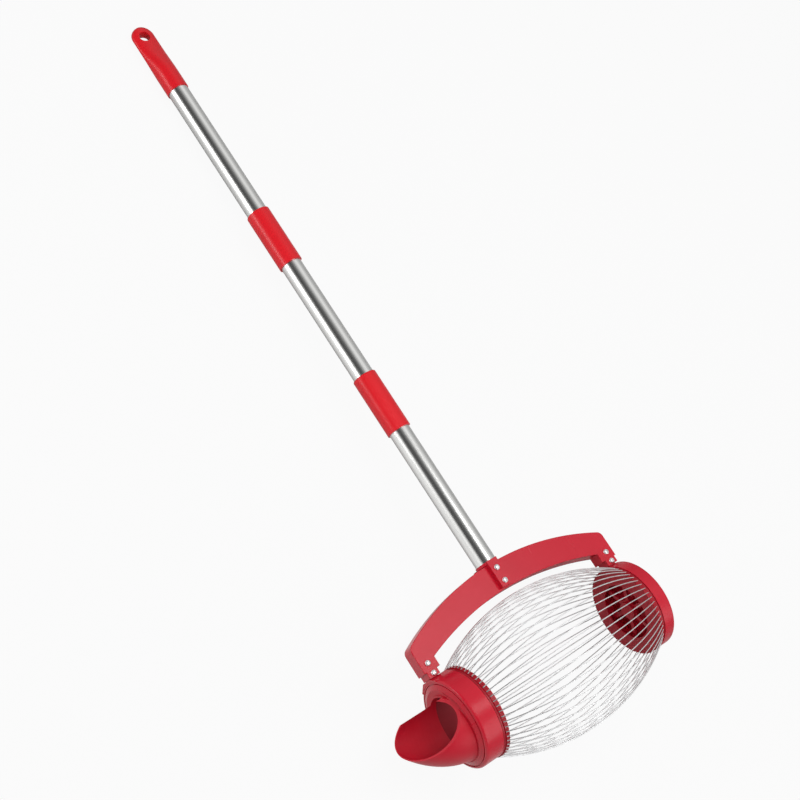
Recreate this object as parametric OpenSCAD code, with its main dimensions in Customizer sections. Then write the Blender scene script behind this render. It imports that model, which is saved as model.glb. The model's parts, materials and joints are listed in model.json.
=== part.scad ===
// Rolling nut gatherer lying on the ground, as it is put down between uses.
// A barrel of spring wires turns between a pouring spout and a far end cap. A flat
// yoke carries both ends, and a handle of three screwed tubes stands on the yoke.
// Working axes: X along the barrel, Y up the handle, Z out of the yoke's front face.

/* [Handle] */
// Outside diameter of the three steel tubes
tube_d = 26; // [22:0.5:30]
// Wall of the tubes
tube_wall = 0.8; // [0.5:0.1:1.5]
// Bare tube between the socket and the lower coupler
lower_bare = 184; // [120:1:260]
// Bare tube between the two couplers
middle_bare = 165; // [120:1:260]
// Bare tube between the upper coupler and the hang cap
upper_bare = 191; // [120:1:260]

/* [Couplers] */
// Wall of a coupler sleeve over the tube
coupler_wall = 2; // [1.2:0.1:4]
// Length of a coupler sleeve
coupler_len = 77.5; // [60:0.5:110]
// Rounding of a coupler's upper rim
coupler_round = 1.4; // [0.5:0.1:1.6]
// Outside diameter of the screw thread inside a coupler
thread_d = 15.4; // [10:0.2:18]
// Length of the screw thread
thread_len = 30; // [15:1:36]
// Height of the shoulder that a threaded insert or plug has inside its tube
plug_len = 30; // [15:1:36]
// Floor of a threaded insert below its thread
insert_floor = 4; // [2:0.5:8]

/* [Hang cap] */
// Wall of the cap over the tube
cap_wall = 1.2; // [1:0.1:4]
// Length of the cap from its lower rim to its tip
cap_len = 101.5; // [90:0.5:140]
// Depth that the upper tube goes into the cap
cap_socket = 30; // [25:1:36]
// Length over which the cap narrows to its flat tongue
cap_ramp = 45; // [30:1:50]
// Width of the flat tongue at the tip
tongue_w = 30; // [26:0.5:36]
// Thickness of the flat tongue at the tip
tongue_t = 12.6; // [6:0.1:20]
// Diameter of the hang hole
hang_d = 14; // [6:0.5:16]
// Distance from the tip to the centre of the hang hole
hang_inset = 17; // [14:0.5:20]

/* [Socket] */
// Wall of the socket collar round the tube
socket_wall = 1; // [0.8:0.1:3]
// Height of the collar above the yoke
socket_collar = 3.5; // [3:0.5:10]
// Depth that the tube sits in the collar
socket_seat = 2.5; // [1:0.5:3]
// Length of the spigot that fills the lower end of the tube
socket_spigot = 40; // [20:1:70]
// Width of the front strip that clamps the yoke
strip_w = 14; // [11:0.5:20]
// Thickness of the front strip
strip_t = 6.5; // [3:0.5:10]
// Height of the strip's lower end above the yoke's inner edge
strip_rise = 2; // [1:0.5:3]
// Width of the rear heel that backs the yoke
heel_w = 20; // [14:0.5:24]
// Thickness of the rear heel
heel_t = 10; // [9.5:0.5:14]
// Height of the heel's lower end above the yoke's inner edge
heel_rise = 4.5; // [2:0.5:5]

/* [Yoke] */
// Gap between the wires and the yoke's inner edge
yoke_gap = 8.65; // [4:0.05:30]
// Width of the yoke's band on the centre line
yoke_band = 33; // [26:0.5:45]
// Depth of the yoke from front to back
yoke_depth = 19; // [12:0.5:22]
// Distance from the handle's axis to the yoke's front face
yoke_front = 9.5; // [8.5:0.5:12]
// Thickness of the yoke's front skin
yoke_skin = 3; // [2:0.1:4]
// Thickness of the walls and ribs behind the skin
yoke_wall = 2.5; // [1.5:0.1:3.5]
// Fall of the outer edge from the centre to the corner
outer_drop = 34.7; // [26:0.1:44]
// Fall of the inner edge from the centre to the leg
inner_drop = 22; // [12:0.5:28]
// Rounding of the outer corners
yoke_corner = 8; // [2:0.5:10]
// Step from a leg's narrow tab to the leg's outer edge
leg_outer = 2.5; // [0.5:0.05:4]
// Step from a leg's narrow tab to the leg's inner edge
leg_inner = 4.4; // [0.5:0.05:6]
// Height of the narrow tab below the wide part of a leg
tab_drop = 7; // [4:0.5:9]
// Distance from the handle's axis to the yoke's middle
yoke_shift = 2.7; // [0:0.1:5]
// Gap between the far wire ring's face and the leg beside it
leg_gap = 4.9; // [1:0.05:6]
// Width of the housings' ears inside the legs
ear_w = 9; // [7.5:0.1:14]
// Reach of the housings' ears behind the yoke
ear_reach = 1.5; // [1:0.5:5]
// Ribs in each arm of the yoke
rib_count = 3; // [1:1:6]

/* [Cage] */
// Number of spring wires
wire_count = 56; // [40:4:72]
// Diameter of a spring wire
wire_d = 1.2; // [1:0.1:2]
// Radius from the barrel's axis to the wires at the belly
belly_r = 85.75; // [75:0.05:100]
// Half of the clear length between the two wire rings
cage_half = 116.5; // [95:0.5:150]
// Distance from the handle's axis to the barrel's middle
cage_offset = 6; // [0:0.5:10]
// Outside radius of the wire rings
ring_r = 54.5; // [46:0.1:62]
// Radial width of the spout's wire ring
ring_wall = 8.2; // [7.5:0.1:10]
// Radial width of the far wire ring
far_ring_wall = 20.5; // [15:0.1:26]
// Thickness of the far wire ring's lip round the wheel's windows
far_lip = 1.2; // [0.8:0.1:2]
// Depth of the recess behind that lip, towards the rim
far_recess = 9; // [4:0.1:9.5]
// Width of a wire ring
ring_w = 5; // [4:0.5:8]
// Depth of the notches that hold the wire ends
notch_depth = 1.2; // [1:0.1:1.8]
// Room beside a wire in its notch
notch_room = 0.2; // [0.1:0.05:0.3]
// Width of the groove between two notches
groove_w = 1; // [0.4:0.1:1.2]
// Thickness of the plate that closes the notches
clamp_t = 2.5; // [2.5:0.1:4]
// Inset of that plate's edge from the ring's rim
clamp_inset = 1.3; // [1:0.1:1.5]

/* [Spout end] */
// Length of the fixed collar
collar_len = 24; // [22:0.5:32]
// Step from the wire ring's rim down to the collar
collar_step = 1.2; // [0.5:0.1:4]
// Rounding of the collar's front edge
collar_round = 3.5; // [1:0.1:5]
// Width and depth of the groove inside the collar's front edge
rim_groove = 1.4; // [0.6:0.1:2]
// Rise of the collar's front face towards the spout
front_rise = 2.5; // [0.5:0.1:4]
// Wall of the neck that the wire ring turns on
neck_wall = 8; // [6:0.1:10]
// Thickness of the retaining ring
retainer_t = 2.5; // [1.5:0.1:4]
// Reach of the retaining ring past the neck
retainer_lip = 3.5; // [2:0.1:5]
// Inset of the collar's shoulder from the yoke's front face
shoulder_inset = 2; // [1:0.1:3]
// Reach of the collar's shoulder behind the handle's axis
shoulder_back = 12; // [8:0.5:16]
// Step from the passage out to the spout's outside radius
spout_step = 0.5; // [0.2:0.1:1.5]
// Wall of the spout
spout_wall = 2.5; // [1.5:0.1:3]
// Depth of the spout's seat in the collar
spout_seat = 6; // [4:0.1:8]
// Lip of the seat round the spout
seat_lip = 1; // [0.8:0.1:1.5]
// Tilt of the spout's axis up the handle
spout_tilt = 15.2; // [10:0.2:18]
// Distance from the barrel's axis down to the spout's middle
spout_drop = 2; // [0:0.1:3]
// Length at which the spout's domed nose would close
spout_nose = 84; // [80:1:100]
// Least distance from the collar's front to the mouth's edge
mouth_lip = 0.3; // [0.1:0.1:4]
// Turn of the mouth up the handle
mouth_up = 36; // [25:1:50]
// Turn of the mouth to the front
mouth_front = 45; // [30:1:55]
// Depth of the spout's flat upper edge below its round top
flat_depth = 6.9; // [3:0.1:12]

/* [Far end] */
// Depth of the far end cap
far_depth = 16; // [14:0.1:20]
// Step from the wire ring's rim down to the far end cap
far_step = 0.3; // [0.2:0.1:4]
// Wall of the far end cap
far_wall = 2.5; // [2:0.1:3.5]
// Radius of the wheel's hub
hub_r = 10.5; // [9.5:0.1:14]
// Length of the wheel's hub inside the cage
hub_in = 3; // [2:0.1:8]
// Length of the wheel's hub towards the end cap
hub_out = 5; // [2:0.1:6]
// Spokes of the wheel
spoke_count = 6; // [3:1:10]
// Width of a spoke
spoke_w = 5; // [3:0.1:6]
// Ledge of the wheel round its hub
window_ledge = 2; // [1:0.1:4]
// Step from the far ring's recess in to the wheel's windows
window_step = 0.5; // [0.2:0.1:2]
// Diameter of the axle pin
axle_d = 10; // [7:0.1:11]
// Floor of the hub behind its bush
bush_floor = 2.5; // [1.5:0.1:4]
// Wall of the hub's bush
bush_wall = 1.5; // [1:0.1:2.5]
// Thickness of the thrust washer
washer_t = 0.6; // [0.4:0.1:0.6]
// Diameter of the axle pin's head
axle_head_d = 16; // [13:0.5:20]
// Height of the axle pin's head
axle_head_h = 2; // [1:0.1:4]

/* [Fasteners] */
// Shank diameter of the yoke screws
screw_d = 3.8; // [3:0.1:4.2]
// Head diameter of the yoke screws
screw_head_d = 7; // [6:0.1:7.2]
// Head height of the yoke screws
screw_head_h = 2.2; // [1.2:0.1:3]
// Distance between the two screws in a leg
leg_pitch = 12; // [9:0.1:14]
// Depth of a leg's screw holes in the ear
leg_grip = 10; // [7:0.5:11]
// Distance between the two screws in the front strip
strip_pitch = 17; // [12:0.5:19]
// Depth of the strip's screw holes in the heel
strip_grip = 8; // [5:0.5:9]
// Shank diameter of the small screws in the ring parts
small_d = 2.9; // [2:0.1:3]
// Head diameter of the small screws
small_head_d = 5.2; // [4.4:0.1:5.4]
// Small screws in a wire ring
small_count = 6; // [3:1:8]
// Floor of a wire ring under its screws
ring_floor = 1.5; // [1:0.1:2]
// Small screws in the retaining ring
retainer_count = 4; // [3:1:8]
// Depth of the retaining screw holes in the collar
retainer_grip = 6; // [4:0.5:10]

/* [Fits] */
// Clearance between pieces that are fixed together
fit = 0.1; // [0.02:0.02:0.15]
// Clearance of the wire ring on its neck and of parts that unscrew
run = 0.3; // [0.2:0.05:0.4]
// Clearance of the axle pin in its bush
axle_run = 0.05; // [0.02:0.01:0.1]
// Gap between the turning cage and the fixed ends
end_gap = 0.5; // [0.3:0.05:0.8]

/* [Hidden] */
$fn = 64;
handle_red = [0.84, 0.13, 0.16];
body_red = [0.78, 0.2, 0.23];
steel = [0.78, 0.79, 0.8];
wire_grey = [0.62, 0.63, 0.64];
zinc = [0.86, 0.87, 0.88];
big = 1000;
sink = 1;
head_share = 0.7;

// Handle: radii, and heights above the barrel's axis
tube_r = tube_d / 2;
tube_in = tube_r - tube_wall;
plug_r = tube_in - fit;
coupler_r = tube_r + coupler_wall;
cap_r = tube_r + cap_wall;
wire_r = wire_d / 2;
yoke_low = belly_r + wire_r + yoke_gap;
yoke_top = yoke_low + yoke_band;
socket_top = yoke_top + socket_collar;
lower_sleeve = socket_top + lower_bare;
upper_sleeve = lower_sleeve + coupler_len + middle_bare;
cap_low = upper_sleeve + coupler_len + upper_bare;
cap_tip = cap_low + cap_len;
cap_shoulder = cap_low + cap_socket + cap_wall;
tongue_r = tongue_w / 2;
tongue_mid = cap_tip - tongue_r;

// Ends of the cage: distances from the handle's axis along the barrel
ring_edge = cage_half + ring_w + clamp_t + end_gap;
spout_face = ring_edge - cage_offset;
far_face = ring_edge + cage_offset;
spout_ring = cage_half - cage_offset;
far_ring = cage_half + cage_offset;
clamp_r = ring_r - clamp_inset;
ring_bore = ring_r - ring_wall;
far_bore = ring_r - far_ring_wall;
recess_r = far_bore + far_recess;
neck_r = ring_bore - run;
throat_r = neck_r - neck_wall;
collar_r = ring_r - collar_step;
far_r = ring_r - far_step;
spout_r = throat_r + spout_step;
spout_top = spout_r / cos(spout_tilt) - spout_drop;
spout_flat = spout_top - flat_depth;
collar_end = spout_face + collar_len;
spout_root = collar_end + front_rise;
seat_floor = spout_root - spout_seat;
seat_r = spout_top + 2 * spout_drop + seat_lip;
far_end = far_face + far_depth;
clamp_screw_r = (ring_bore + clamp_r) / 2;

// Bow of the wires, from notch to notch
bow_span = cage_half + ring_w - wire_r;
wire_end_r = ring_r - notch_depth + fit + wire_r;
bow_rise = belly_r - wire_end_r;
bow_r = (bow_span * bow_span + bow_rise * bow_rise) / (2 * bow_rise);
bow_angle = asin(bow_span / bow_r);
wire_step = 360 / wire_count;

// Yoke: both legs stand at the same distance from the yoke's middle
tab_half = ear_w / 2 + yoke_wall + 2 * fit;
leg_x = far_ring + ring_w + leg_gap + tab_half - yoke_shift;
leg_out = leg_x + tab_half + leg_outer;
leg_in = leg_x - tab_half - leg_inner;
function leg_mid(side) = yoke_shift + side * leg_x;
outer_r = (leg_out * leg_out + outer_drop * outer_drop) / (2 * outer_drop);
inner_r = (leg_in * leg_in + inner_drop * inner_drop) / (2 * inner_drop);
yoke_back = yoke_front - yoke_depth;
tab_end = max(collar_r, far_r, clamp_r) + end_gap;
leg_step = tab_end + tab_drop;
corner_slope = asin(leg_out / outer_r);
corner_low = yoke_top - outer_drop - yoke_corner * tan(45 - corner_slope / 2);
ear_front = yoke_front - yoke_skin - fit;
ear_back = yoke_back - ear_reach;
leg_screw = tab_end + screw_head_d / 2;
ear_top = leg_screw + leg_pitch + screw_d;

// Front strip and rear heel of the socket
socket_r = tube_r + socket_wall;
strip_low = yoke_low + strip_rise;
heel_low = yoke_low + heel_rise;
strip_front = yoke_front + fit + strip_t;
strip_mid = yoke_low + yoke_band / 2;
heel_front = yoke_back - fit;

// Hub and axle, measured from the face of the wheel's plate
wheel_face = far_ring + ring_w;
hub_start = wheel_face - hub_in;
hub_end = wheel_face + clamp_t + hub_out;
bush_r = axle_d / 2 + axle_run + bush_wall;
bush_start = hub_start + bush_floor;
washer_gap = end_gap / 2;
boss_start = hub_end + washer_t + 2 * washer_gap;

// Spout's nose: radius at a distance along its tilted axis, and the lip farthest from the handle
nose_steps = 14;
nose_share = 0.96;
nose_start = spout_seat + spout_r * tan(spout_tilt);
function nose_r(s, r) = s < 0 ? r : r * (1 - pow(s / spout_nose, 2));
spout_axis = [-cos(spout_tilt), sin(spout_tilt), 0];
spout_side = [sin(spout_tilt), cos(spout_tilt), 0];
spout_base = [-spout_root, -spout_drop, 0];
mouth_out = [-cos(mouth_front) * cos(mouth_up), cos(mouth_front) * sin(mouth_up), sin(mouth_front)];
mouth_lean = acos(mouth_out * spout_axis);
root_rise = tan(spout_tilt) * (mouth_out * spout_side) / sin(mouth_lean);
mouth_reach = mouth_lip + spout_r * (tan(mouth_lean) + root_rise);
mouth_mid = spout_base + mouth_reach * spout_axis;
function nose_point(s, a) =
    spout_base + s * spout_axis + nose_r(s, spout_r) * (cos(a) * spout_side + sin(a) * [0, 0, 1]);
lip_x = min([for (s = [0:0.5:spout_nose], a = [0:3:357]) let (p = nose_point(s, a))
             if ((p - mouth_mid) * mouth_out <= 0 && p[1] <= spout_flat) p[0]]);

// Rest on the ground: two wires and the cap's shoulder touch it
floor_r = belly_r * cos(wire_step / 2) + wire_r;
lie_angle = asin(floor_r / norm([cap_shoulder, cap_r])) - atan(cap_r / cap_shoulder);
tip_y = tongue_mid * cos(lie_angle) + tongue_r;
mid_x = (lip_x + max(leg_out + yoke_shift, far_end + axle_head_h)) / 2;
mid_y = (tip_y - floor_r) / 2;

function polar(r, a) = [r * cos(a), r * sin(a)];
module on_barrel() translate([-mid_x, -mid_y, floor_r]) children();
module lying() on_barrel() rotate([-lie_angle, 0, 0]) children();
module up_handle(y) translate([0, y, 0]) rotate([-90, 0, 0]) children();
module to_spout(x) translate([-x, 0, 0]) rotate([0, -90, 0]) children();
module to_far(x) translate([x, 0, 0]) rotate([0, 90, 0]) children();
module ring(r_out, r_in, h) difference() {
    cylinder(r = r_out, h = h);
    translate([0, 0, -sink]) cylinder(r = r_in, h = h + 2 * sink);
}
module around(count, r) for (k = [0:count - 1])
    rotate([0, 0, (k + 0.5) * 360 / count]) translate([r, 0, 0]) children();
module pan_screw(d, length, head_d, head_h) {
    translate([0, 0, -length]) cylinder(d = d, h = length);
    cylinder(d1 = head_d, d2 = head_share * head_d, h = head_h);
}
module flat_screw(d, length, head_d) {
    cone = (head_d - d) / 2;
    translate([0, 0, -length]) cylinder(d = d, h = length);
    translate([0, 0, -cone]) cylinder(d1 = d, d2 = head_d, h = cone);
}
module flat_screw_hole(d, length, head_d) {
    cone = (head_d - d) / 2 + fit;
    translate([0, 0, -length - fit]) cylinder(d = d + 2 * fit, h = length + fit + sink);
    translate([0, 0, -cone]) cylinder(d1 = d + 2 * fit, d2 = head_d + 4 * fit, h = cone + fit);
}

// Handle sections
module tube(low, high) color(steel) lying() up_handle(low) ring(tube_r, tube_in, high - low);
function joint_y(sleeve) = sleeve + coupler_len / 2;

module hang_cap() color(handle_red) lying() difference() {
    intersection() {
        union() {
            up_handle(cap_low) cylinder(r = cap_r, h = cap_shoulder - cap_low + sink);
            up_handle(cap_shoulder) cylinder(r1 = cap_r, r2 = tongue_r, h = tongue_mid - cap_shoulder);
            translate([0, tongue_mid, 0]) sphere(r = tongue_r);
        }
        rotate([90, 0, 90]) translate([0, 0, -tongue_w]) linear_extrude(2 * tongue_w) polygon([
            [cap_low - sink, cap_r + sink], [cap_shoulder, cap_r + sink], [cap_shoulder, cap_r],
            [cap_shoulder + cap_ramp, tongue_t / 2], [cap_tip + sink, tongue_t / 2],
            [cap_tip + sink, -tongue_t / 2], [cap_shoulder + cap_ramp, -tongue_t / 2],
            [cap_shoulder, -cap_r], [cap_shoulder, -cap_r - sink], [cap_low - sink, -cap_r - sink]]);
    }
    up_handle(cap_low - sink) cylinder(r = tube_r + fit, h = cap_socket + sink);
    translate([0, cap_tip - hang_inset, -tongue_r]) cylinder(d = hang_d, h = tongue_w);
}

module coupler(low) color(handle_red) lying() up_handle(low) difference() {
    rotate_extrude() polygon(concat(
        [[tube_r - sink, 0], [coupler_r, 0]],
        [for (a = [0:15:90]) [coupler_r - coupler_round * (1 - cos(a)),
                              coupler_len - coupler_round * (1 - sin(a))]],
        [[tube_r - sink, coupler_len]]));
    translate([0, 0, -sink]) cylinder(r = tube_r + fit, h = coupler_len);
    translate([0, 0, coupler_len / 2]) cylinder(r = tube_r + run, h = coupler_len);
}
module thread_insert(sleeve) color(handle_red) lying()
    up_handle(joint_y(sleeve) - thread_len - insert_floor) difference() {
        cylinder(r = plug_r, h = thread_len + insert_floor);
        translate([0, 0, insert_floor]) cylinder(d = thread_d + 2 * run, h = thread_len + sink);
    }
module thread_plug(sleeve) color(handle_red) lying() up_handle(joint_y(sleeve) + run) {
    cylinder(r = plug_r, h = plug_len);
    translate([0, 0, -thread_len]) cylinder(d = thread_d, h = thread_len + sink);
}

module upper_tube() tube(joint_y(upper_sleeve) + run, cap_low + cap_socket - fit);
module upper_thread_plug() thread_plug(upper_sleeve);
module upper_thread_insert() thread_insert(upper_sleeve);
module upper_coupler() coupler(upper_sleeve);
module middle_tube() tube(joint_y(lower_sleeve) + run, joint_y(upper_sleeve));
module lower_thread_plug() thread_plug(lower_sleeve);
module lower_thread_insert() thread_insert(lower_sleeve);
module lower_coupler() coupler(lower_sleeve);
module lower_tube() tube(socket_top - socket_seat + fit, joint_y(lower_sleeve));

// Socket: collar and spigot for the tube, with a strip and a heel that hold the yoke between them
module handle_socket() color(body_red) lying() difference() {
    union() {
        up_handle(yoke_top + fit) cylinder(r = socket_r, h = socket_collar - fit);
        up_handle(yoke_top + fit) cylinder(r = plug_r, h = socket_collar + socket_spigot);
        translate([-strip_w / 2, strip_low, strip_front - strip_t])
            cube([strip_w, socket_top - strip_low, strip_t]);
        translate([-heel_w / 2, heel_low, heel_front - heel_t])
            cube([heel_w, yoke_top + socket_collar / 2 - heel_low, heel_t]);
    }
    up_handle(socket_top - socket_seat) ring(tube_r + fit, plug_r, socket_seat + sink);
    strip_screws() translate([0, 0, -strip_bite]) cylinder(d = screw_d + 2 * fit, h = strip_bite + sink);
}
strip_bite = strip_t + yoke_depth + 2 * fit + strip_grip;
module strip_screws() for (s = [-1, 1])
    translate([0, strip_mid + s * strip_pitch / 2, strip_front]) children();
module socket_screws() color(zinc) lying() strip_screws()
    pan_screw(screw_d, strip_bite - sink, screw_head_d, screw_head_h);

// Yoke: outline in its own plane, drawn in by an inset for the hollow back
module yoke_shape(inset, past_end) translate([yoke_shift, 0]) {
    difference() {
        translate([0, yoke_top - outer_r]) circle(r = outer_r - inset, $fn = 180);
        translate([0, yoke_low - inner_r]) circle(r = inner_r + inset, $fn = 180);
        for (s = [-1, 1]) translate([s * (leg_out - inset + big / 2), 0]) square(big, center = true);
        translate([0, leg_step + inset - big / 2]) square(big, center = true);
    }
    for (s = [-1, 1]) mirror([s < 0 ? 1 : 0, 0]) {
        translate([leg_in + inset, leg_step + inset])
            square([leg_out - leg_in - 2 * inset, corner_low - leg_step - inset]);
        translate([leg_x - tab_half + inset, tab_end - past_end])
            square([2 * (tab_half - inset), tab_drop + past_end + 2 * yoke_wall]);
    }
}
module corner_cuts() translate([yoke_shift, 0, 0]) for (s = [-1, 1]) mirror([s < 0 ? 1 : 0, 0, 0])
    translate([leg_out - yoke_corner, corner_low, yoke_back - sink]) linear_extrude(yoke_depth + 2 * sink)
        difference() {
            polygon([[0, 0], [2 * yoke_corner, 0], [2 * yoke_corner, 2 * yoke_corner],
                     polar(2 * yoke_corner, 90 - corner_slope)]);
            circle(r = yoke_corner);
        }
module yoke_ribs() for (s = [-1, 1], k = [1:rib_count])
    translate([yoke_shift + s * k * leg_in / (rib_count + 1) - yoke_wall / 2, 0, yoke_back])
        cube([yoke_wall, yoke_top, yoke_depth]);
module yoke() color(body_red) lying() difference() {
    translate([0, 0, yoke_back]) linear_extrude(yoke_depth) yoke_shape(0, 0);
    difference() {
        translate([0, 0, yoke_back - sink]) linear_extrude(yoke_depth - yoke_skin + sink)
            yoke_shape(yoke_wall, sink);
        yoke_ribs();
        translate([-heel_w / 2, 0, yoke_back - sink]) cube([heel_w, yoke_top, yoke_depth]);
    }
    corner_cuts();
    strip_screws() translate([0, 0, -strip_bite]) cylinder(d = screw_d + 4 * fit, h = strip_bite);
    for (s = [-1, 1]) leg_screws(s)
        translate([0, 0, -yoke_skin - sink]) cylinder(d = screw_d + 4 * fit, h = yoke_skin + 2 * sink);
}
leg_bite = yoke_skin + leg_grip;
module leg_screws(side) for (k = [0, 1])
    translate([leg_mid(side), leg_screw + k * leg_pitch, yoke_front]) children();
module leg_screw_set(side) color(zinc) lying() leg_screws(side)
    pan_screw(screw_d, leg_bite - sink, screw_head_d, screw_head_h);
module spout_leg_screws() leg_screw_set(-1);
module far_leg_screws() leg_screw_set(1);
module ear(side, low) difference() {
    translate([leg_mid(side) - ear_w / 2, low, ear_back])
        cube([ear_w, ear_top - low, ear_front - ear_back]);
    leg_screws(side) translate([0, 0, -leg_bite]) cylinder(d = screw_d + 2 * fit, h = leg_bite);
}

// Spout end: fixed housing with its neck, the spout in its seat, and the retaining ring
neck_start = spout_ring - end_gap;
rim_r = collar_r - collar_round;
module collar_body() rotate_extrude() polygon(concat(
    [[throat_r, neck_start], [neck_r, neck_start], [neck_r, spout_face], [collar_r, spout_face]],
    [for (a = [0:15:90]) [collar_r - collar_round * (1 - cos(a)),
                          collar_end - collar_round * (1 - sin(a))]],
    [[rim_r, collar_end - rim_groove], [rim_r - rim_groove, collar_end - rim_groove],
     [rim_r - rim_groove, collar_end], [seat_r, spout_root], [seat_r, seat_floor], [throat_r, seat_floor]]));
shoulder_top = tab_end - end_gap;
function touch(corner, turn) =
    polar(collar_r, atan2(corner[1], corner[0]) + turn * acos(collar_r / norm(corner)));
module shoulder() to_spout(spout_face) difference() {
    back = [-shoulder_back, shoulder_top];
    front = [yoke_front - shoulder_inset, shoulder_top];
    linear_extrude(collar_len) polygon([[0, 0], touch(front, -1), front, back, touch(back, 1)]);
    translate([0, 0, -sink]) cylinder(r = collar_r - collar_round / 2, h = collar_len + 2 * sink);
}
module spout_housing() color(body_red) lying() {
    difference() {
        to_spout(0) collar_body();
        retaining_at() translate([0, 0, -retainer_bite])
            cylinder(d = small_d + 2 * fit, h = retainer_bite);
    }
    shoulder();
    ear(-1, collar_r - sink);
}
retainer_bite = ring_w + end_gap + retainer_grip;
retainer_screw_r = (throat_r + neck_r) / 2;
module retaining_at() to_spout(neck_start) mirror([0, 0, 1])
    around(retainer_count, retainer_screw_r) children();
module retaining_ring() color(body_red) lying() difference() {
    to_spout(neck_start - retainer_t) ring(neck_r + retainer_lip, throat_r, retainer_t);
    retaining_at() cylinder(d = small_d + 2 * fit, h = 2 * retainer_t);
}
module retaining_screws() color(zinc) lying() retaining_at() translate([0, 0, retainer_t])
    pan_screw(small_d, retainer_bite + retainer_t - sink, small_head_d, small_d / 2);

module along_spout() translate(spout_base) rotate([0, 0, -spout_tilt]) rotate([0, -90, 0]) children();
module nose(r) rotate_extrude() polygon(concat(
    [[0, -nose_start], [r, -nose_start]],
    [for (k = [0:nose_steps]) let (s = k / nose_steps * nose_share * spout_nose) [nose_r(s, r), s]],
    [[0, nose_share * spout_nose]]));
module spout() color(body_red) lying() difference() {
    union() {
        difference() {
            along_spout() nose(spout_r);
            to_spout(spout_root - fit - big) cylinder(r = big, h = big);
        }
        to_spout(seat_floor) cylinder(r = seat_r - fit, h = spout_seat);
    }
    along_spout() nose(spout_r - spout_wall);
    translate(mouth_mid) rotate([0, mouth_front - 90, -mouth_up])
        translate([-big / 2, -big / 2, 0]) cube(big);
    translate([-spout_root - sink - big, spout_flat, -big / 2]) cube(big);
}

// Turning cage: notched rings, the plates that close their notches, and the bowed wires
notch_half = asin((wire_r + notch_room) / wire_end_r);
groove_half = asin(groove_w / 2 / ring_r);
floor_at = ring_r - notch_depth;
groove_at = ring_r - notch_depth / 2;
function tooth(a, b) = [
    polar(ring_r, a - notch_half), polar(floor_at, a - notch_half),
    polar(floor_at, a + notch_half), polar(ring_r, a + notch_half),
    polar(ring_r, b - groove_half), polar(groove_at, b - groove_half),
    polar(groove_at, b + groove_half), polar(ring_r, b + groove_half)];
module notched_ring(bore) difference() {
    linear_extrude(ring_w)
        polygon([for (k = [0:wire_count - 1]) each tooth((k + 0.5) * wire_step, (k + 1) * wire_step)]);
    translate([0, 0, -sink]) cylinder(r = bore, h = ring_w + 2 * sink);
}
clamp_bite = clamp_t + ring_w - ring_floor;
module clamp_at() translate([0, 0, ring_w + clamp_t]) around(small_count, clamp_screw_r) children();
module clamp_holes() clamp_at() flat_screw_hole(small_d, clamp_bite, small_head_d);
module clamp_screws() color(zinc) clamp_at() flat_screw(small_d, clamp_bite, small_head_d);
module spout_wire_ring() color(body_red) on_barrel() to_spout(spout_ring) difference() {
    notched_ring(ring_bore);
    clamp_holes();
}
module spout_clamp_ring() color(body_red) on_barrel() to_spout(spout_ring) difference() {
    translate([0, 0, ring_w]) ring(clamp_r, ring_bore, clamp_t);
    clamp_holes();
}
module spout_clamp_screws() on_barrel() to_spout(spout_ring) clamp_screws();
module far_wire_ring() color(body_red) on_barrel() to_far(far_ring) difference() {
    notched_ring(far_bore);
    translate([0, 0, far_lip]) cylinder(r = recess_r, h = ring_w);
    clamp_holes();
}
module far_clamp_screws() on_barrel() to_far(far_ring) clamp_screws();
module cage_wires() color(wire_grey) on_barrel() translate([cage_offset, 0, 0])
    for (k = [0:wire_count - 1]) rotate([(k + 0.5) * wire_step, 0, 0]) translate([0, 0, belly_r - bow_r])
        rotate([90, 0, 0]) rotate([0, 0, 90 - bow_angle]) rotate_extrude(angle = 2 * bow_angle)
            translate([bow_r, 0]) circle(d = wire_d, $fn = 24);

// Far end: spoked wheel with its bush, the axle pin and the fixed end cap
module windows() difference() {
    ring(recess_r - window_step, hub_r + window_ledge, clamp_t + 2 * sink);
    for (k = [0:spoke_count - 1]) rotate([0, 0, k * 360 / spoke_count])
        translate([0, -spoke_w / 2, -sink]) cube([recess_r, spoke_w, clamp_t + 4 * sink]);
}
module end_wheel() color(body_red) on_barrel() difference() {
    union() {
        to_far(wheel_face) cylinder(r = clamp_r, h = clamp_t);
        to_far(hub_start) cylinder(r = hub_r, h = hub_end - hub_start);
    }
    to_far(wheel_face - sink) windows();
    to_far(bush_start) cylinder(r = bush_r + fit, h = hub_end);
    to_far(far_ring) clamp_holes();
}
module hub_bush() color(zinc) on_barrel() to_far(bush_start)
    ring(bush_r, axle_d / 2 + axle_run, hub_end - bush_start);
module thrust_washer() color(zinc) lying() to_far(hub_end + washer_gap)
    ring(hub_r - sink, axle_d / 2 + run, washer_t);
module axle_pin() color(zinc) lying() {
    to_far(bush_start + sink) cylinder(d = axle_d, h = far_end - bush_start);
    to_far(far_end + fit) cylinder(d = axle_head_d, h = axle_head_h - fit);
}
module end_housing() color(body_red) lying() {
    difference() {
        union() {
            difference() {
                to_far(0) rotate_extrude() polygon(concat(
                    [[0, far_face], [far_r, far_face]],
                    [for (a = [0:15:90]) [far_r - far_wall * (1 - cos(a)),
                                          far_end - far_wall * (1 - sin(a))]],
                    [[0, far_end]]));
                to_far(far_face - sink) cylinder(r = far_r - far_wall, h = far_depth - far_wall + sink);
            }
            to_far(boss_start) cylinder(r = hub_r, h = far_end - boss_start);
        }
        to_far(boss_start - sink) cylinder(d = axle_d + 2 * fit, h = far_depth);
    }
    ear(1, far_r - 2 * far_wall);
}

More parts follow.
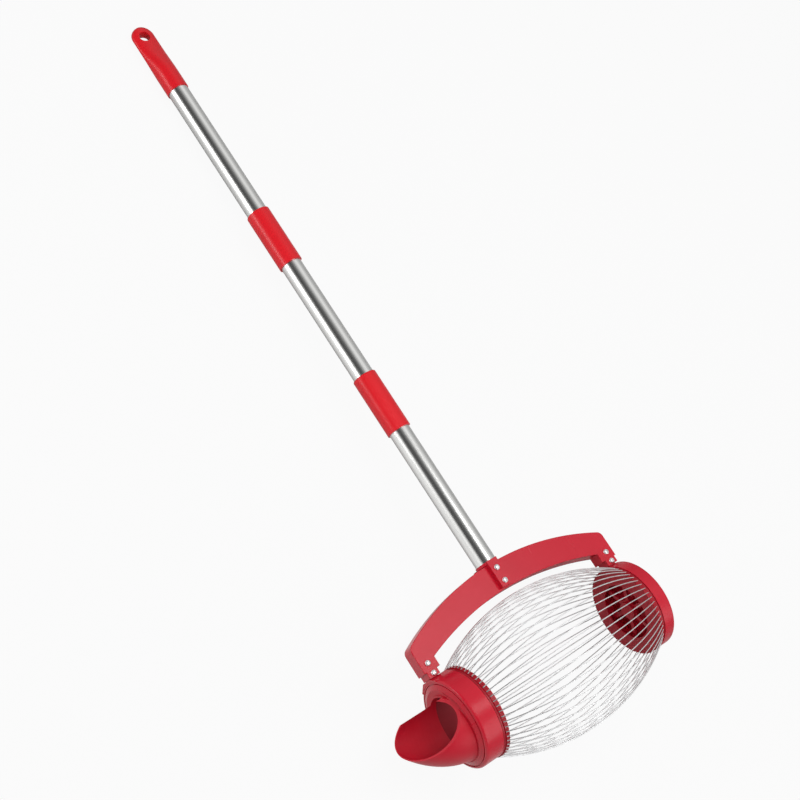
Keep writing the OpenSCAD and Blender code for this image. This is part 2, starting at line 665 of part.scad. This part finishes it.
hang_cap();
upper_tube();
upper_thread_plug();
upper_thread_insert();
upper_coupler();
middle_tube();
lower_thread_plug();
lower_thread_insert();
lower_coupler();
lower_tube();
handle_socket();
socket_screws();
yoke();
spout_leg_screws();
far_leg_screws();
spout_housing();
spout();
retaining_ring();
retaining_screws();
spout_wire_ring();
spout_clamp_ring();
spout_clamp_screws();
cage_wires();
far_wire_ring();
end_wheel();
far_clamp_screws();
hub_bush();
thrust_washer();
axle_pin();
end_housing();
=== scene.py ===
# Rolling nut gatherer, lying on a white studio floor and seen from above on the spout's side.
# The barrel of spring wires comes first, then the two ends that carry it, the yoke, and the handle.
import json
import math

import bmesh
import bpy
from mathutils import Matrix, Vector


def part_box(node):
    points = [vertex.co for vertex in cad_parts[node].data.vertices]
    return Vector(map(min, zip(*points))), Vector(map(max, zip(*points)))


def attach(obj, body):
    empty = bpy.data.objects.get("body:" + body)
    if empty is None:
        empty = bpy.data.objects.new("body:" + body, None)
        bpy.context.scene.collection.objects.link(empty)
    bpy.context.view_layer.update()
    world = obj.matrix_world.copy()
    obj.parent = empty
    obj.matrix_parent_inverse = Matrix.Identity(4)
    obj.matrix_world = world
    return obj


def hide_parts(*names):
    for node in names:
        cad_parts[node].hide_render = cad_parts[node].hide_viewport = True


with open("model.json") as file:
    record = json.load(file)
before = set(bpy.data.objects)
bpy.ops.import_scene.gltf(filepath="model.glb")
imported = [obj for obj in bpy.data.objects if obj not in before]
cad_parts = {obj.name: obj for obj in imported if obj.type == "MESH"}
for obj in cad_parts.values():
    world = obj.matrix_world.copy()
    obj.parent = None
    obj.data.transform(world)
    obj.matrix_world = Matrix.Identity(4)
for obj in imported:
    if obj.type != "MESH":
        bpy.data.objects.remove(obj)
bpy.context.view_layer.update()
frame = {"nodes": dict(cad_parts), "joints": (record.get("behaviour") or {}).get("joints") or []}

# Barrel wires.
# Bowed lengths of drawn spring steel, each sprung into a notch at both ends. Handling dulls the
# bright finish in patches, and the drawing die leaves it a little rough along the length.


class Value:
    """A socket in a material. Arithmetic on values adds Math nodes, and node() adds any other."""

    def __init__(self, tree, socket):
        self.tree = tree
        self.socket = socket

    def node(self, kind, settings, inputs, output=0):
        made = self.tree.nodes.new("ShaderNode" + kind)
        for name, setting in settings.items():
            if name == "stops":
                stops = made.color_ramp.elements
                while len(stops) < len(setting):
                    stops.new(1.0)
                for stop, (place, level) in zip(stops, setting):
                    stop.position = place
                    stop.color = (level, level, level, 1)
            else:
                setattr(made, name, setting)
        for name, given in inputs.items():
            if isinstance(given, Value):
                self.tree.links.new(given.socket, made.inputs[name])
            else:
                made.inputs[name].default_value = given
        return Value(self.tree, made.outputs[output])

    def math(self, operation, first, second):
        return self.node("Math", {"operation": operation}, {0: first, 1: second})

    def __add__(self, other):
        return self.math("ADD", self, other)

    __radd__ = __add__

    def __sub__(self, other):
        return self.math("SUBTRACT", self, other)

    def __rsub__(self, other):
        return self.math("SUBTRACT", other, self)

    def __mul__(self, other):
        return self.math("MULTIPLY", self, other)

    __rmul__ = __mul__

    def into(self, shader, name):
        self.tree.links.new(self.socket, shader.inputs[name])


def shade(red, green, blue):
    """A colour as a screen shows it, in the linear values that a shader takes."""
    def linear(c):
        return c / 12.92 if c <= 0.04045 else ((c + 0.055) / 1.055) ** 2.4
    return (linear(red / 255), linear(green / 255), linear(blue / 255), 1)


def new_finish(name, fixed):
    """A material with its shader's plain sockets set, its shader, and its Object coordinates."""
    material = bpy.data.materials.new(name)
    material.use_nodes = True
    shader = material.node_tree.nodes["Principled BSDF"]
    for socket, setting in fixed.items():
        shader.inputs[socket].default_value = setting
    coordinates = material.node_tree.nodes.new("ShaderNodeTexCoord")
    return material, shader, Value(material.node_tree, coordinates.outputs["Object"])


def noise(place, size, detail=2.0, stretch=(1, 1, 1), turn=(0, 0, 0)):
    """Noise with features of about that size in metres, stretched along the turned axes."""
    laid = place.node("Mapping", {"vector_type": "TEXTURE"},
                      {"Vector": place, "Rotation": turn, "Scale": stretch})
    return laid.node("TexNoise", {}, {"Vector": laid, "Scale": 1 / size, "Detail": detail})


def tint(fraction, low, high):
    """A colour between two, by a fraction."""
    return fraction.node("Mix", {"data_type": "RGBA"}, {0: fraction, 6: low, 7: high}, output=2)


def bump(height, depth):
    """A surface normal from a height of 0 to 1 that stands for a depth in metres."""
    return height.node("Bump", {}, {"Height": height, "Distance": depth, "Strength": 1.0})


def dress(node, material):
    """Gives a piece that comes straight from the frame its finish."""
    frame["nodes"][node].material_slots[0].material = material


wire_finish, wire_shader, wire_place = new_finish("spring_wire", {"Metallic": 1.0})
wire_patch = 0.012
wire_roughness = 0.32
wire_wear = 0.2
wire_dull = noise(wire_place, wire_patch)
tint(wire_dull, shade(232, 233, 234), shade(250, 250, 250)).into(wire_shader, "Base Color")
(wire_dull * wire_wear + wire_roughness).into(wire_shader, "Roughness")
dress("cage_wires", wire_finish)

# Barrel rings and wheel.
# Moulded red plastic. A notched ring takes the wire ends, a thin plate closes the notches, and
# at the far end that plate is a spoked wheel with a hub.
flow_size = 0.045
rubbed_size = 0.018
grain_size = 0.0011
grain_depth = 0.000003
rubbed_wear = 0.05
# Painted shade: a dark red that darkens the collar's throat, which is also made rougher
painted_throat_shade = shade(142, 18, 34)
dull_roughness = 0.36


def moulded_red(name, low, high, matt, shade_and_dull_part=None):
    """Moulded plastic with slight flow marks, a fine grain, rubbed patches and a rougher part with
    painted shade.
    """
    material, shader, place = new_finish(name, {"IOR": 1.45, "Specular IOR Level": 0.4})
    flow = noise(place, flow_size, detail=3.0)
    grain = noise(place, grain_size, detail=1.0)
    rubbed = noise(place, rubbed_size, detail=4.0, stretch=(1, 3, 1))
    colour = tint(flow, low, high)
    roughness = rubbed * rubbed_wear + matt
    if shade_and_dull_part:
        shaded_dull_share = shade_and_dull_part(place)
        colour = tint(shaded_dull_share, colour, painted_throat_shade)
        roughness = roughness + shaded_dull_share * dull_roughness
    colour.into(shader, "Base Color")
    roughness.into(shader, "Roughness")
    bump(grain, grain_depth).into(shader, "Normal")
    return material


body_look = {"low": shade(196, 20, 42), "high": shade(208, 30, 52), "matt": 0.24}
body_red = moulded_red("body_red_plastic", **body_look)
# The rings and the wheel take a darker red than the body: painted shade for the deep notches and the
# shaded inside of the barrel
shaded_ring_red = moulded_red("ring_red_plastic", shade(158, 14, 32), shade(172, 22, 40), matt=0.3)
for part in ("spout_wire_ring", "spout_clamp_ring", "far_wire_ring", "end_wheel"):
    dress(part, shaded_ring_red)

# Small screws, bush, washer and axle.
# Bright zinc-plated steel, turned or headed, with the faint cloudiness of the plating.
zinc_finish, zinc_shader, zinc_place = new_finish("bright_zinc", {"Metallic": 1.0})
zinc_patch = 0.003
zinc_roughness = 0.28
zinc_wear = 0.14
zinc_cloud = noise(zinc_place, zinc_patch)
tint(zinc_cloud, shade(236, 237, 238), shade(250, 250, 250)).into(zinc_shader, "Base Color")
(zinc_cloud * zinc_wear + zinc_roughness).into(zinc_shader, "Roughness")
for part in ("retaining_screws", "spout_clamp_screws", "far_clamp_screws",
             "hub_bush", "thrust_washer", "axle_pin"):
    dress(part, zinc_finish)

# Spout end.
# A fixed collar that the barrel turns on, a ring screwed to it inside the barrel, and the spout
# seated in it. All are red mouldings. The collar's passage for the nuts is rougher, with painted shade.

# Axes of the handle, from the barrel's centre line: x along the barrel, y up the handle, and z out of
# the yoke's front
up_handle = Vector(next(j["axis"] for j in frame["joints"] if j["name"] == "middle_unscrew"))
lie = math.atan2(-up_handle.z, up_handle.y)
cage_low, cage_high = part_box("cage_wires")
tube_low, tube_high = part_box("lower_tube")
barrel_middle = (cage_low + cage_high) / 2
handle_x = (tube_low.x + tube_high.x) / 2
handle_axes = (Matrix.Translation((handle_x, barrel_middle.y, barrel_middle.z))
               @ Matrix.Rotation(-lie, 4, "X"))
into_axes = handle_axes.inverted()
merge_distance = 0.000005
flat_angle = math.radians(0.4)
crease = math.radians(35)


def pick(piece):
    """Makes a piece the only one that is selected."""
    bpy.ops.object.select_all(action="DESELECT")
    piece.select_set(True)
    bpy.context.view_layer.objects.active = piece


def apply_modifier(piece, name, kind, settings):
    """Adds a modifier to a piece, sets it and applies it."""
    pick(piece)
    modifier = piece.modifiers.new(name, kind)
    for setting, value in settings.items():
        setattr(modifier, setting, value)
    bpy.ops.object.modifier_apply(modifier=name)


def round_edges(piece, width, sharp=crease, where=lambda middle: True):
    """Rounds a piece's sharp edges, those whose middle in the handle's axes passes a test."""
    pick(piece)
    bpy.ops.object.mode_set(mode="EDIT")
    bpy.ops.mesh.select_mode(type="EDGE")
    bpy.ops.mesh.select_all(action="DESELECT")
    mesh = bmesh.from_edit_mesh(piece.data)
    for edge in mesh.edges:
        middle = into_axes @ ((edge.verts[0].co + edge.verts[1].co) / 2)
        edge.select = (len(edge.link_faces) == 2 and edge.calc_face_angle() > sharp
                       and where(middle))
    bmesh.update_edit_mesh(piece.data)
    bpy.ops.mesh.bevel(offset=width, segments=3, affect="EDGES", clamp_overlap=True,
                       loop_slide=False)
    bpy.ops.object.mode_set(mode="OBJECT")


def moulding(node, name, body, material):
    """A copy of a node, merged and with its flat faces joined, that takes the node's place."""
    mesh = frame["nodes"][node].data.copy()
    mesh.materials.clear()
    mesh.materials.append(material)
    piece = bpy.data.objects.new(name, mesh)
    bpy.context.scene.collection.objects.link(piece)
    pick(piece)
    bpy.ops.object.mode_set(mode="EDIT")
    bpy.ops.mesh.select_all(action="SELECT")
    bpy.ops.mesh.remove_doubles(threshold=merge_distance)
    bpy.ops.mesh.dissolve_limited(angle_limit=flat_angle)
    bpy.ops.object.mode_set(mode="OBJECT")
    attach(piece, body)
    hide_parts(node)
    return piece


def finish_moulding(piece):
    """Smooths the curved faces of a moulding and keeps its flat ones flat."""
    pick(piece)
    bpy.ops.object.shade_smooth_by_angle(angle=crease)
    apply_modifier(piece, "faces", "WEIGHTED_NORMAL", {"keep_sharp": True})


bore_edge = 0.0008
throat_r = bore_edge + min((vertex.co - barrel_middle).yz.length
                           for vertex in frame["nodes"]["spout_housing"].data.vertices)


def in_throat(place):
    """1 in the passage that the nuts rub along, which is painted darker as shade and made rougher, 0
    outside it.
    """
    offset = place.node("VectorMath", {"operation": "SUBTRACT"}, {0: place, 1: barrel_middle})
    along_y = offset.node("SeparateXYZ", {}, {0: offset}, output=1)
    along_z = offset.node("SeparateXYZ", {}, {0: offset}, output=2)
    return offset.math("LESS_THAN", along_y * along_y + along_z * along_z, throat_r * throat_r)


# The collar's throat is darkened with painted shade and made rougher
collar_red = moulded_red("collar_red_plastic", **body_look, shade_and_dull_part=in_throat)
collar = moulding("spout_housing", "spout_collar", "frame", collar_red)
round_edges(collar, width=0.0006)
finish_moulding(collar)
spout_red = moulded_red("spout_red_plastic", shade(190, 20, 40), shade(202, 28, 50), matt=0.42)
pouring_spout = moulding("spout", "pouring_spout", "frame", spout_red)
round_edges(pouring_spout, width=0.0008)
finish_moulding(pouring_spout)
dress("retaining_ring", body_red)

# Far end cap.
# A shallow red cup, moulded in one with a boss that holds the axle and an ear that goes up into
# the yoke's leg. Its outside is closed.
end_cap = moulding("end_housing", "far_end_cap", "frame", body_red)
round_edges(end_cap, width=0.0006)
finish_moulding(end_cap)

# Yoke.
# One flat red moulding, hollow and ribbed behind, with its front edges rounded by the mould. Two
# screws in each leg hold it to the ears of the end mouldings.


def span(node):
    """A node's lowest and highest corners in the handle's axes."""
    points = [into_axes @ vertex.co for vertex in frame["nodes"][node].data.vertices]
    return (Vector([min(p[i] for p in points) for i in range(3)]),
            Vector([max(p[i] for p in points) for i in range(3)]))


yoke_front = span("yoke")[1].z
front_band = 0.0002
leg_margin = 0.001
yoke = moulding("yoke", "yoke_moulding", "frame", body_red)
screw_spans = [span(screws) for screws in ("spout_leg_screws", "far_leg_screws", "socket_screws")]


def on_outline(middle):
    """True on the yoke's front outline, away from the screw holes and the ends of the legs."""
    clear_of_screws = all(not (low.x < middle.x < high.x and low.y < middle.y < high.y)
                          for low, high in screw_spans)
    above_leg_ends = middle.y > screw_spans[0][0].y + leg_margin
    return middle.z > yoke_front - front_band and clear_of_screws and above_leg_ends


round_edges(yoke, width=0.0007, where=on_outline)
round_edges(yoke, width=0.0004)
finish_moulding(yoke)

screw_head = 0.0022
dome_share = 0.8
screw_shank = 0.0019
recess_arm = 0.0042
recess_width = 0.0009
recess_depth = 0.0012


def cut_out(piece, cutter):
    """Cuts a cutter out of a piece and removes the cutter."""
    apply_modifier(piece, "cut", "BOOLEAN",
                   {"object": cutter, "operation": "DIFFERENCE", "solver": "EXACT"})
    bpy.data.objects.remove(cutter)


def pan_head_screw(head_r, length):
    """A screw with a domed head and a cross recess, pointing down from a head that sits at the origin."""
    bpy.ops.object.select_all(action="DESELECT")
    bpy.ops.mesh.primitive_cylinder_add(vertices=40, radius=head_r, depth=screw_head,
                                        location=(0, 0, screw_head / 2))
    screw = bpy.context.active_object
    pick(screw)
    bpy.ops.object.transform_apply(location=True)
    bpy.ops.object.mode_set(mode="EDIT")
    bpy.ops.mesh.select_mode(type="FACE")
    bpy.ops.mesh.select_all(action="DESELECT")
    mesh = bmesh.from_edit_mesh(screw.data)
    for face in mesh.faces:
        face.select = face.normal.z > 0.5
    bmesh.update_edit_mesh(screw.data)
    bpy.ops.mesh.bevel(offset=dome_share * screw_head, segments=5, affect="EDGES", clamp_overlap=True)
    bpy.ops.mesh.select_all(action="DESELECT")
    mesh = bmesh.from_edit_mesh(screw.data)
    for face in mesh.faces:
        face.select = face.normal.z < -0.5
    bmesh.update_edit_mesh(screw.data)
    bpy.ops.mesh.inset(thickness=head_r - screw_shank)
    bpy.ops.mesh.extrude_region_move(
        TRANSFORM_OT_translate={"value": (0, 0, screw_head - length)})
    bpy.ops.object.mode_set(mode="OBJECT")
    for arm in ((recess_arm, recess_width), (recess_width, recess_arm)):
        bpy.ops.object.select_all(action="DESELECT")
        bpy.ops.mesh.primitive_cube_add(size=1, location=(0, 0, screw_head))
        cutter = bpy.context.active_object
        cutter.scale = (arm[0], arm[1], 2 * recess_depth)
        cut_out(screw, cutter)
    return screw


def pan_head_screws(node, name):
    """Two screws, one above the other, in a node's place."""
    low, high = span(node)
    head_r = (high.x - low.x) / 2
    screw = pan_head_screw(head_r, high.z - low.z)
    heads = []
    for height in (low.y + head_r, high.y - head_r):
        copy = bpy.data.objects.new(name, screw.data.copy())
        bpy.context.scene.collection.objects.link(copy)
        seat = Vector(((low.x + high.x) / 2, height, high.z - screw_head))
        copy.data.transform(handle_axes @ Matrix.Translation(seat))
        heads.append(copy)
    bpy.data.objects.remove(screw)
    pick(heads[0])
    heads[1].select_set(True)
    bpy.ops.object.join()
    pair = heads[0]
    pair.data.materials.clear()
    pair.data.materials.append(zinc_finish)
    bpy.ops.object.shade_smooth_by_angle(angle=crease)
    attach(pair, "frame")
    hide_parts(node)


pan_head_screws("spout_leg_screws", "spout_leg_pan_screws")
pan_head_screws("far_leg_screws", "far_leg_pan_screws")

# Handle socket.
# A red moulding with a collar and a spigot for the lower tube. Its front strip and its rear heel take
# the yoke between them, held by two screws.
socket = moulding("handle_socket", "handle_socket_moulding", "frame", body_red)
round_edges(socket, width=0.0007)
finish_moulding(socket)
pan_head_screws("socket_screws", "socket_pan_screws")

# Handle tubes.
# Three thin stainless tubes, drawn and polished, so that faint lines run along them. The lowest is
# pushed over the socket's spigot.
drawn_line = 0.0012
drawn_stretch = 60
tube_roughness = 0.2
tube_wear = 0.08
tube_finish, tube_shader, tube_place = new_finish("polished_stainless", {"Metallic": 1.0})
drawn = noise(tube_place, drawn_line, stretch=(1, drawn_stretch, 1), turn=(-lie, 0, 0))
tint(drawn, shade(232, 232, 230), shade(246, 246, 244)).into(tube_shader, "Base Color")
(drawn * tube_wear + tube_roughness).into(tube_shader, "Roughness")
for part in ("lower_tube", "middle_tube", "upper_tube"):
    dress(part, tube_finish)

# Couplers and their threads.
# Moulded red sleeves over the joints between the tubes. Inside each, a plug fixed in the tube above
# screws into an insert fixed in the tube below.
handle_red = moulded_red("handle_red_plastic", shade(222, 26, 36), shade(232, 36, 46), matt=0.26)
for part in ("lower_coupler", "upper_coupler", "lower_thread_insert", "upper_thread_insert",
             "lower_thread_plug", "upper_thread_plug"):
    dress(part, handle_red)

# Hang cap.
# A moulded red cap pushed over the end of the upper tube. It blends from round to a flat tongue,
# with a hole for hanging it up.
cap_low, cap_high = span("hang_cap")
tube_end = span("upper_tube")[1].y
cap_fit = 0.0001
cap_wall = 0.0011
bore_r = (tube_high.x - tube_low.x) / 2 + cap_fit
cap_r = bore_r + cap_wall
tongue_r = (cap_high.x - cap_low.x) / 2
tongue_half = 0.0063
tongue_mid = cap_high.y - tongue_r
blend_overlap = 0.004
flat_from = tube_end - blend_overlap
flat_length = 0.05
flat_steps = 12
round_length = 0.002
tip_power = 5
tip_root = 0.4
tip_step = 6
cap_sharp = math.radians(45)
cap_crease = math.radians(40)
# Least values that keep the tip from closing to a point
least_square = 0.0009
least_thick = 0.01


def cap_section(y):
    """Half width and half thickness of the cap at a height up the handle."""
    share = min(max((y - flat_from) / flat_length, 0), 1)
    flat = share * share * (3 - 2 * share)
    wide = cap_r + (tongue_r - cap_r) * flat
    thick = cap_r + (tongue_half - cap_r) * flat
    past = max(y - tongue_mid, 0) / tongue_r
    return (wide * math.sqrt(max(1 - past * past, least_square)),
            thick * max(1 - past ** tip_power, least_thick) ** tip_root)


heights = [cap_low.y, flat_from - round_length]
heights += [flat_from + flat_length * k / flat_steps for k in range(flat_steps + 1)]
heights += [tongue_mid + tongue_r * math.sin(math.radians(angle))
            for angle in range(tip_step, 90, tip_step)]
bpy.ops.object.select_all(action="DESELECT")
bpy.ops.mesh.primitive_circle_add(vertices=72, radius=cap_r, fill_type="NGON", location=(0, 0, 0))
cap = bpy.context.active_object
cap.name = "hang_cap_moulding"
pick(cap)
bpy.ops.object.mode_set(mode="EDIT")
bpy.ops.mesh.select_all(action="SELECT")
wide, thick = cap_section(heights[0])
for below, above in zip(heights, heights[1:]):
    bpy.ops.mesh.extrude_region_move(TRANSFORM_OT_translate={"value": (0, 0, above - below)})
    next_wide, next_thick = cap_section(above)
    bpy.ops.transform.resize(value=(next_wide / wide, next_thick / thick, 1),
                             center_override=(0, 0, above - heights[0]))
    wide, thick = next_wide, next_thick
bpy.ops.mesh.select_all(action="SELECT")
bpy.ops.mesh.normals_make_consistent(inside=False)
bpy.ops.object.mode_set(mode="OBJECT")
upright = Matrix.Rotation(-math.pi / 2, 4, "X")
cap.data.transform(handle_axes @ Matrix.Translation((0, heights[0], 0)) @ upright)
hole_r = 0.007
hole_inset = 0.017
hole_cutter = 0.05
for radius, length, middle, turn in (
        (bore_r, 2 * (tube_end - cap_low.y), (0, cap_low.y, 0), math.pi / 2),
        (hole_r, hole_cutter, (0, cap_high.y - hole_inset, 0), 0)):
    bpy.ops.object.select_all(action="DESELECT")
    bpy.ops.mesh.primitive_cylinder_add(vertices=64, radius=radius, depth=length)
    cutter = bpy.context.active_object
    cutter.matrix_world = handle_axes @ Matrix.Translation(middle) @ Matrix.Rotation(turn, 4, "X")
    cut_out(cap, cutter)
round_edges(cap, width=0.0007, sharp=cap_sharp, where=lambda middle: middle.y > tube_end)
cap.data.materials.clear()
cap.data.materials.append(handle_red)
pick(cap)
bpy.ops.object.shade_smooth_by_angle(angle=cap_crease)
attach(cap, "upper_section")
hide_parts("hang_cap")

# Studio.
# A white floor, and soft lamps overhead, in front, above the yoke and low on the left. The walls are
# white low on the left, dark above that beside the camera, and pale on the right.
bpy.ops.object.select_all(action="DESELECT")
floor_size = 14
bpy.ops.mesh.primitive_plane_add(size=floor_size, location=(0, 0, 0))
floor = bpy.context.active_object
floor.name = "studio_floor"
floor_finish = bpy.data.materials.new("white_floor")
floor_finish.use_nodes = True
floor_tree = floor_finish.node_tree
paper = floor_tree.nodes["Principled BSDF"]
paper_grey = 0.5
paper.inputs["Base Color"].default_value = (paper_grey, paper_grey, paper_grey, 1)
paper.inputs["Roughness"].default_value = 0.9
rays = floor_tree.nodes.new("ShaderNodeLightPath")
seen = Value(floor_tree, rays.outputs["Is Camera Ray"])
mirrored = Value(floor_tree, rays.outputs["Is Glossy Ray"])
# The floor is white to the camera, and in mirror images it is bright left of the handle
floor_place = Value(floor_tree, floor_tree.nodes.new("ShaderNodeTexCoord").outputs["Object"])
floor_x = floor_place.node("SeparateXYZ", {}, {0: floor_place})
glow_from = handle_x - 0.015
glow_to = handle_x - 0.12
most_glow = 0.7
left_glow = floor_x.node("MapRange", {}, {"Value": floor_x, "From Min": glow_from, "From Max": glow_to,
                                          "To Min": 0.0, "To Max": most_glow})
glow = floor_tree.nodes.new("ShaderNodeEmission")
mix = floor_tree.nodes.new("ShaderNodeMixShader")
seen_glow = 0.93
(seen * seen_glow + mirrored * left_glow).into(mix, 0)
floor_tree.links.new(paper.outputs[0], mix.inputs[1])
floor_tree.links.new(glow.outputs[0], mix.inputs[2])
floor_tree.links.new(mix.outputs[0], floor_tree.nodes["Material Output"].inputs["Surface"])
floor.data.materials.append(floor_finish)

world = bpy.data.worlds.new("studio")
bpy.context.scene.world = world
world.use_nodes = True
sky = world.node_tree
directions = Value(sky, sky.nodes.new("ShaderNodeTexCoord").outputs["Generated"])
across = directions.node("SeparateXYZ", {}, {0: directions}, output=0)
upward = directions.node("SeparateXYZ", {}, {0: directions}, output=2)
round_handle = across.math("ARCTAN2", upward, across) * (1 / math.pi)
# Brightness by the angle round the handle, from level on the right, over the top, to level on the left
walls = round_handle.node("ValToRGB", {"stops": (
    (0.0, 0.4), (0.15, 0.52), (0.24, 0.76), (0.31, 0.86), (0.38, 0.68), (0.45, 0.42), (0.51, 0.24),
    (0.57, 0.12), (0.67, 0.05), (0.77, 0.06), (0.81, 0.2), (0.845, 0.7), (0.88, 0.97), (1.0, 1.0))},
    {"Fac": round_handle})
sky_rays = sky.nodes.new("ShaderNodeLightPath")
sky_seen = Value(sky, sky_rays.outputs["Is Camera Ray"])
sky_diffuse = Value(sky, sky_rays.outputs["Is Diffuse Ray"])
diffuse_loss = 0.5
tint(sky_seen, walls, (1, 1, 1, 1)).into(sky.nodes["Background"], "Color")
(1 - sky_diffuse * diffuse_loss).into(sky.nodes["Background"], "Strength")


def soft_lamp(name, size, energy, place, target, in_mirrors):
    """A rectangular lamp that faces a point, and that mirror images show or not."""
    lamp = bpy.data.lights.new(name, "AREA")
    lamp.shape = "RECTANGLE"
    lamp.size, lamp.size_y = size
    lamp.energy = energy
    lamp_object = bpy.data.objects.new(name, lamp)
    bpy.context.scene.collection.objects.link(lamp_object)
    lamp_object.location = place
    lamp_object.rotation_euler = (Vector(target) - Vector(place)).to_track_quat("-Z", "Y").to_euler()
    lamp_object.visible_glossy = in_mirrors


soft_lamp("overhead_lamp", size=(1.0, 2.0), energy=24,
          place=(-0.4, 0.0, 2.0), target=(0, 0, 0), in_mirrors=False)
soft_lamp("front_lamp", size=(1.4, 1.2), energy=8,
          place=(0.5, -1.7, 1.1), target=(0, -0.4, 0.08), in_mirrors=True)
soft_lamp("sheen_panel", size=(0.55, 0.65), energy=3.2,
          place=(0.56, -0.22, 1.6), target=(0, -0.3, 0.08), in_mirrors=True)
soft_lamp("side_lamp", size=(0.9, 0.4), energy=4.6,
          place=(-1.2, 0.7, 0.21), target=(0, 0.2, 0.05), in_mirrors=True)

# Camera.
# Above the spout's side, aimed at the middle tube and rolled so that the handle runs to the upper
# left of the picture. Its place and target are in the handle's axes.
camera = bpy.data.cameras.new("camera")
camera.lens = 63.83
camera.sensor_width = 36
camera_object = bpy.data.objects.new("camera", camera)
bpy.context.scene.collection.objects.link(camera_object)
camera_place = Vector((-0.8134, 0.0107, 1.4121))
camera_target = Vector((0.0237, 0.3481, 0))
camera_roll = math.radians(38)
facing = (camera_target - camera_place).to_track_quat("-Z", "Y").to_matrix().to_4x4()
camera_object.matrix_world = (handle_axes @ Matrix.Translation(camera_place) @ facing
                              @ Matrix.Rotation(camera_roll, 4, "Z"))
bpy.context.scene.camera = camera_object
bpy.context.scene.view_settings.view_transform = "Standard"
